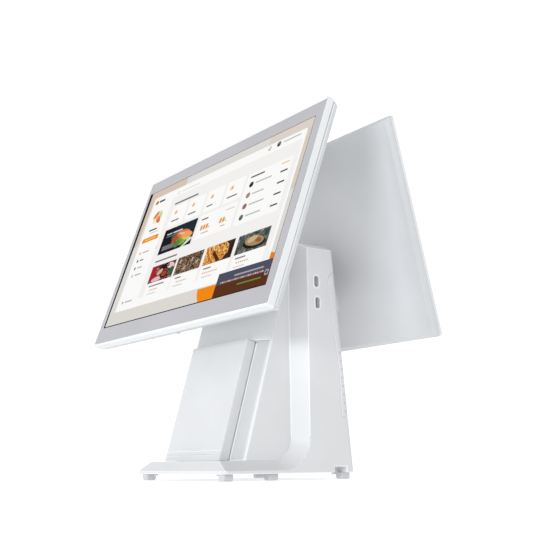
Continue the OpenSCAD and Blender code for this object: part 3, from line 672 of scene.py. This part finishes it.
def draw_sidebar(p):
    """The column at the left: a dish, a button and the menu."""
    p.disc(-149, 77, 4.2, 3.2, "E8912C", 5)
    p.disc(-147.5, 76, 2.0, 1.5, "5A3A20", 6)
    p.bar(-143, 76.8, -128, 3, "4A4A4C", 5)
    p.disc(-133, 52, 11.5, 10, "F1ECDD", 5)
    p.disc(-126, 52.5, 4, 7, "C7D29A", 6)
    p.disc(-137.5, 55.5, 7, 3.6, "E9853A", 7, 35)
    p.disc(-128.5, 47.5, 7.5, 4, "E4703A", 7, -42)
    p.disc(-133, 51.5, 4.5, 3, "F2B27C", 8, -30)
    p.bar(-143, 33.5, -122.5, 2.4, "5A5A5E", 5)
    p.bar(-139, 29, -117, 1.4, "C9C9CC", 5)
    p.rect(-152, 16.7, -111, 23.3, "F18F07", 5, 1.6)
    p.bar(-146, 20, -117, 1.6, "F8C47E", 6)
    rows = [(1.5, "E5A85A", -123), (-9.5, "55555A", -130), (-20, "77777C", -127),
            (-30.5, "B9B9BD", -123), (-67.5, "B0B0B4", -121)]
    for v, tone, end in rows:
        p.disc(-145.5, v, 2.1, 2.1, tone, 5)
        p.bar(-139.5, v, end, 1.9, "B4B4B8" if tone != "55555A" else "6A6A6E", 5)
    p.disc(-104.5, 2, 2.6, 2.6, "E6E6E6", 6)


def draw_top_bar(p):
    """The search line and the account at the top."""
    p.disc(-94, 77.5, 2.6, 2.6, "D2D2D4", 5)
    p.disc(-94, 77.5, 1.6, 1.6, "FDFDFC", 6)
    p.bar(-86, 77.5, -44, 1.8, "E4E4E6", 5)
    p.disc(99, 80.5, 2.6, 2.8, "8A8A8E", 5)
    p.disc(98.6, 81, 1.6, 1.8, "FDFDFC", 6)
    p.disc(116, 80.8, 3.6, 3.4, "4A4C4A", 5)
    p.disc(117, 82, 1.5, 1.3, "8B9088", 6)
    p.bar(124, 80.8, 155, 1.9, "C2C2C6", 5)


def draw_cards(p):
    """The small cards with icons."""
    p.bar(-94, 60.6, -38, 2.6, "77777A", 6)
    icons = [(-83, -88, -69), (-41.5, -48, -30), (0.5, -6, 7.5), (42, 36.5, 58)]
    for u, start, end in icons:
        p.rect(u - 11, 27, u + 25, 56, "FEFEFD", 6, 2.4)
        p.disc(u, 46.5, 3.8, 3.0, "F8D6A4", 7, 20)
        p.disc(u + 1, 45.8, 2.0, 1.8, "EFA24C", 8, -20)
        p.bar(start, 34.2, end, 2.0, "77777A", 7)
    p.rect(-10.5, -10, 66, 23, "FDFDFC", 6, 2.2)
    p.bar(-6, 16.4, 8.5, 2.0, "66666A", 7)
    p.bar(44, 16.8, 62, 1.6, "EBCFA0", 7)
    for left, count in ((-3, 3), (37.5, 2)):
        for i in range(count):
            p.rect(left + 6 * i, 1.4, left + 6 * i + 4.6, 8, "EC9A35", 7, 1.4)
        p.disc(left + 6 * count + 1.2, 2.6, 1.3, 1.2, "EC9A35", 7)
    p.bar(2, -3.2, 18, 1.5, "B5B5B9", 7)
    p.bar(42.5, -3.2, 52, 1.5, "B5B5B9", 7)


def draw_hero(p, greens):
    """The dark picture of a dish."""
    p.rect(-93, -12, -16.5, 22.5, "15191E", 6)
    p.rect(-68, 8, -17, 22, "1D2A33", 7)
    p.disc(-62, 9.5, 9, 4.5, "4A5A48", 8, 24)
    p.disc(-56, 5, 12, 5, "B4512A", 9, 22)
    p.disc(-42, 7.5, 17, 5.6, "E07B3E", 9, -8)
    p.disc(-33, 4.5, 14, 4.4, "F0A066", 10, -10)
    p.disc(-46, 8.6, 8, 1.6, "F5BD8C", 11, -10)
    p.disc(-44, -1.8, 12.5, 6.2, greens, 8, -14)
    p.disc(-51, -4.5, 6.2, 4.8, "4E8A3A", 9, 20)
    p.disc(-33, 0.2, 9.5, 3.2, "C9D25A", 9, -16)
    p.disc(-27, -6, 8, 2, "D8DCDC", 8, 38)
    p.shape([(-40, -12), (-17, -2), (-17, -5), (-33, -12)], "E2E4E4", 9)
    p.bar(-85, 14.6, -72, 1.8, "C9CCCC", 9)
    p.bar(-70, 14.6, -48, 1.8, "DCDCDC", 12)
    p.bar(-85, 11, -60, 1.0, "7E8284", 9)
    p.rect(-86.5, -7.8, -57.5, -1.2, "77757A", 10, 0.8)
    p.bar(-92, -21.4, -40, 2.3, "77777A", 6)


def draw_list(p):
    """The list of people at the right: plain discs, no faces."""
    p.rect(72, -11, 153.5, 55, "FDFDFC", 6, 2.4)
    p.bar(78, 49.4, 104, 2.2, "5F5F63", 7)
    p.bar(134, 50, 148.5, 1.7, "ECC795", 7)
    tones = [("3A3E3C", "242424"), ("9C8C86", "B98A7C"), ("8A6F68", "B06A60"),
             ("6E7670", "55605A")]
    for i, (tone, dark) in enumerate(tones):
        v = 39 - 13.8 * i
        p.disc(83.5, v, 4.0, 3.6, tone, 7)
        p.disc(83.5, v - 1.4, 2.8, 1.6, dark, 8)
        p.bar(91, v + 0.2, (121, 113, 119, 119)[i], 1.9, "BDBDC1", 7)
        p.bar(136, v + 0.4, 149, 2.1, "4E4E52", 7)


def draw_food(p, mottles):
    """The four cards with food pictures."""
    top, bottom = -28, -51
    spans = [(-93, -36), (-31.5, 25), (31, 87.5), (94, 151.5)]
    for i, (left, right) in enumerate(spans):
        p.rect(left, -68, right, bottom, "FDFDFC", 6, 1.8)
        p.rect(left, bottom, right, top, mottles[i], 7)
    # first card: plates on a red cloth
    p.rect(-93, -48, -80, -29, "B01A2E", 8)
    p.disc(-72, -47.2, 14, 3.2, "E8B9BC", 9, 4)
    p.disc(-47, -33.5, 9, 4, "E9C6CC", 9, -10)
    p.disc(-62, -33, 12, 4, "2A1412", 9, 6)
    p.disc(-58, -43.5, 9, 5.2, "3B2320", 10)
    p.disc(-58, -42.6, 6.6, 3.4, "A8402C", 11)
    p.disc(-42, -42, 4.6, 6, "2F5F3A", 10)
    p.disc(-70, -38.5, 7, 3.4, "D9A79C", 10, 18)
    # second card: scattered pieces
    for k in range(16):
        u = -27 + 3.3 * k
        v = -39.5 + 8.2 * math.sin(k * 2.4)
        tone = ("8A6A3E", "C2B49A", "5E3A26", "A04A2C")[k % 4]
        p.disc(u, v, 3.0, 1.7, tone, 8 + k % 3, 47 * k)
    # third card: a flat round dish with a slice out
    p.shape([(31, -28.2), (70, -28.2), (77, -33), (78, -42), (71, -49), (60, -50.8), (31, -50.8)],
            mottles[4], 8)
    p.shape([(49, -35), (66, -49.5), (60, -50.8), (45, -38)], "4A2A1C", 9)
    p.disc(84, -40, 2.6, 9.5, "2C1A18", 8)
    for k in range(7):
        p.disc(35 + 5.6 * k, -34 - 11 * ((k * 3) % 5) / 4, 2.6, 1.5, "C4662A", 10, 40 * k)
    # fourth card: a dark bowl on a grey table
    p.disc(126, -41.8, 21, 6.8, "1E1C1C", 8, -6)
    p.disc(126, -39.5, 18, 6.0, "A88A66", 9, -8)
    p.disc(122, -37, 9, 3.4, "CDB48C", 10, 8)
    p.disc(133, -40, 7, 2.6, "8F5F42", 10, -18)
    p.disc(102, -37, 4.5, 6.5, "4A544C", 8)
    p.disc(146, -34, 4, 4.6, "3C4A40", 8)
    captions = [(-86, -50, -80, 5), (-25, -11, -18, 6), (36.5, 52, 38, 8), (98.5, 118, 104, 6)]
    for start, end, dots, count in captions:
        p.bar(start, -55.6, end, 1.9, "8A8A8E", 7)
        for k in range(count):
            p.disc(dots + 3.9 * k, -61, 1.25, 1.15, "E0A24A", 7, steps=10)
        p.bar(start + 1, -66, start + 22, 1.2, "CBCBCE", 7)


def operator_picture(glass_matrix):
    """The lit area of the operator's screen, with its dark surround."""
    low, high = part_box("main_lcd")
    unlit_edge = 5
    half_w = (high.x - low.x) / 2 / MM - unlit_edge
    half_h = half_w * 9 / 16
    p = Picture(glass_matrix @ Matrix.Translation((0, PANEL_LIFT, 0)))
    p.shape([(-half_w - 3.4, -half_h - 1.3), (half_w + 0.6, -half_h - 1.3),
             (half_w + 0.6, half_h + 0.6), (-half_w - 7, half_h + 0.6)], "1B1B20", 0.5)
    draw_wallpaper(p, half_w, half_h)
    draw_window(p)
    draw_banner(p, half_w, half_h)
    draw_sidebar(p)
    draw_top_bar(p)
    draw_cards(p)
    greens = lit_pattern("picture_leaves", 420, [(0.35, srgb("1E4A1E")), (0.55, srgb("7FB04A")),
                                                 (0.7, srgb("B8D46A"))])
    draw_hero(p, greens)
    draw_list(p)
    mottles = [
        lit_pattern("picture_red_dish", 260, [(0.35, srgb("2A1210")), (0.5, srgb("5E2A28")),
                                              (0.66, srgb("B08A86"))]),
        lit_pattern("picture_brown_dish", 520, [(0.36, srgb("1A120E")), (0.5, srgb("5A4432")),
                                                (0.66, srgb("B9A88E"))]),
        lit_pattern("picture_dark_table", 200, [(0.35, srgb("241A1A")), (0.6, srgb("46302C")),
                                                (0.75, srgb("6A3A34"))]),
        lit_pattern("picture_grey_table", 200, [(0.35, srgb("2C302E")), (0.55, srgb("6C726E")),
                                                (0.72, srgb("B4B8B4"))]),
        lit_pattern("picture_baked", 330, [(0.35, srgb("7A3A14")), (0.48, srgb("D88A34")),
                                           (0.62, srgb("F0CF86"))]),
    ]
    draw_food(p, mottles)
    return p.finish("operator_picture", "operator_monitor")


def customer_panel(matrix):
    """The unlit panel of the customer display, seen through its glass."""
    low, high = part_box("customer_lcd")
    unlit_edge = 3 * MM
    half_w = (high.x - low.x) / 2 - unlit_edge
    half_h = half_w * 9 / 16
    bm = bmesh.new()
    shifted = matrix @ Matrix.Translation((0, PANEL_LIFT, 0))
    add_prism(bm, round_outline(2 * half_w, 2 * half_h, 0.6 * MM), -0.2 * MM, 0.02 * MM, shifted)
    return add_object("customer_panel", mesh_from(bm, "customer_panel"), [DARK_GLASS],
                      "customer_display")


operator_matrix = glass_slab("operator_glass", "main_glass", -1, "operator_monitor")
customer_matrix = glass_slab("customer_glass_slab", "customer_glass", 1, "customer_display")
operator_picture(operator_matrix)
customer_panel(customer_matrix)


# ---------------------------------------------------------------- floor and flag

def make_floor(size):
    """A white floor; it takes soft shadows but throws no light back up at the object."""
    bm = bmesh.new()
    bmesh.ops.create_grid(bm, x_segments=4, y_segments=4, size=size)
    floor = bpy.data.objects.new("floor", mesh_from(bm, "floor"))
    material, tree, shader = new_material("pale_floor")
    tree.links.new(ramp(tree, noise(tree, 3, 3), [(0.2, (0.60, 0.60, 0.60)),
                                                 (0.8, (0.64, 0.64, 0.64))]),
                   shader.inputs["Base Color"])
    shader.inputs["Roughness"].default_value = 0.8
    shader.inputs["Specular IOR Level"].default_value = 0.1
    shader.inputs["Emission Color"].default_value = (1, 1, 1, 1)
    shader.inputs["Emission Strength"].default_value = 0.6
    floor.data.materials.append(material)
    floor.visible_diffuse = False
    floor.visible_glossy = False
    bpy.context.scene.collection.objects.link(floor)


def make_flag(left, right, y, bottom, top):
    """An unseen upright card that keeps the key light off the customer display."""
    bm = bmesh.new()
    corners = ((left, bottom), (right, bottom), (right, top), (left, top))
    bm.faces.new([bm.verts.new((x, y, z)) for x, z in corners])
    flag = bpy.data.objects.new("flag", mesh_from(bm, "flag"))
    flag.data.materials.append(BLACK)
    for ray in ("camera", "diffuse", "glossy", "transmission"):
        setattr(flag, "visible_" + ray, False)
    bpy.context.scene.collection.objects.link(flag)


make_floor(8)
make_flag(left=0.19, right=0.36, y=0.02, bottom=0.08, top=0.45)
